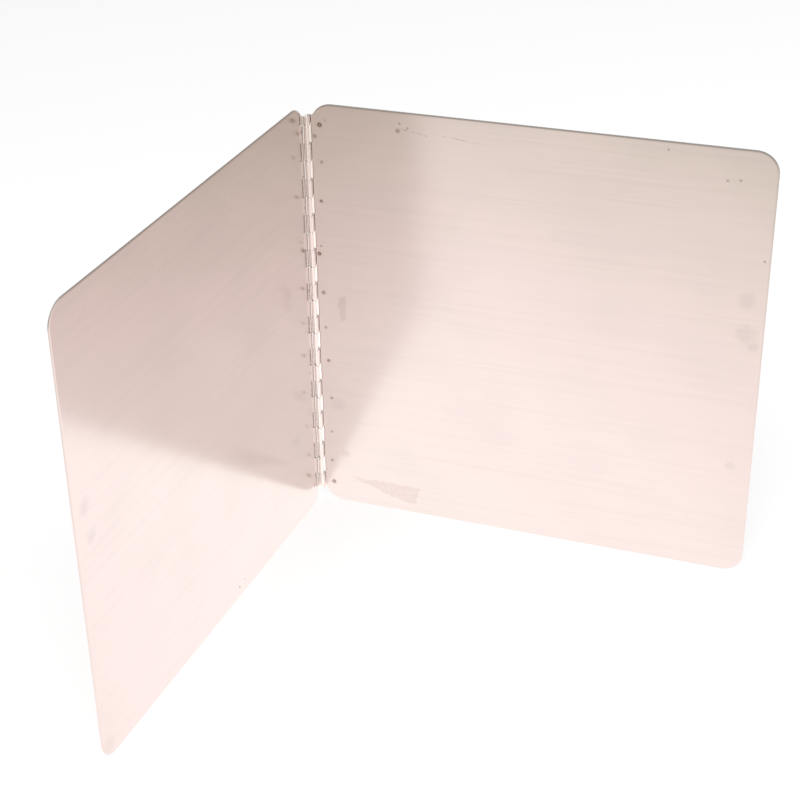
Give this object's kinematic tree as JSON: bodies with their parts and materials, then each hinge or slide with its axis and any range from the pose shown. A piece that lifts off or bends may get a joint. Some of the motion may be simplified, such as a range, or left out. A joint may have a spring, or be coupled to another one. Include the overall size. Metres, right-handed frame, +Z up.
{
  "type": "folding splatter screen",
  "caption": "Folding splatter and wind screen: two rounded flat metal plates joined along one edge by a piano hinge, standing open as a corner behind a camp stove.",
  "frame": {"origin": "middle of the footprint as the screen stands open, on the surface that the lower edges rest on", "axes": "+Z up along the hinge pin, the open side of the corner faces -Y, +X runs across from the left panel's outer edge to the right panel's"},
  "size_m": [0.4408, 0.2044, 0.303],
  "materials": {
    "plate_steel": "satin cold-rolled stainless sheet",
    "leaf_steel": "bare stainless hinge strip",
    "pin_steel": "bright drawn wire",
    "weld_metal": "heat-tinted weld metal"
  },
  "bodies": {
    "right_panel": {"right_plate": "plate_steel", "right_hinge_leaf": "leaf_steel", "spot_weld_right_01": "weld_metal", "spot_weld_right_02": "weld_metal", "spot_weld_right_03": "weld_metal", "spot_weld_right_04": "weld_metal", "spot_weld_right_05": "weld_metal", "spot_weld_right_06": "weld_metal", "spot_weld_right_07": "weld_metal", "spot_weld_right_08": "weld_metal", "spot_weld_right_09": "weld_metal", "spot_weld_right_10": "weld_metal", "spot_weld_right_11": "weld_metal"},
    "left_panel": {"left_plate": "plate_steel", "left_hinge_leaf": "leaf_steel", "hinge_pin": "pin_steel", "spot_weld_left_01": "weld_metal", "spot_weld_left_02": "weld_metal", "spot_weld_left_03": "weld_metal", "spot_weld_left_04": "weld_metal", "spot_weld_left_05": "weld_metal", "spot_weld_left_06": "weld_metal", "spot_weld_left_07": "weld_metal", "spot_weld_left_08": "weld_metal", "spot_weld_left_09": "weld_metal", "spot_weld_left_10": "weld_metal"}
  },
  "joints": [
    {"name": "fold", "type": "hinge", "parent": "right_panel", "child": "left_panel", "pos_m": [0, 0.09931, 0.1515], "axis": [0, 0, -1], "range_deg": [-94, 74]}
  ]
}
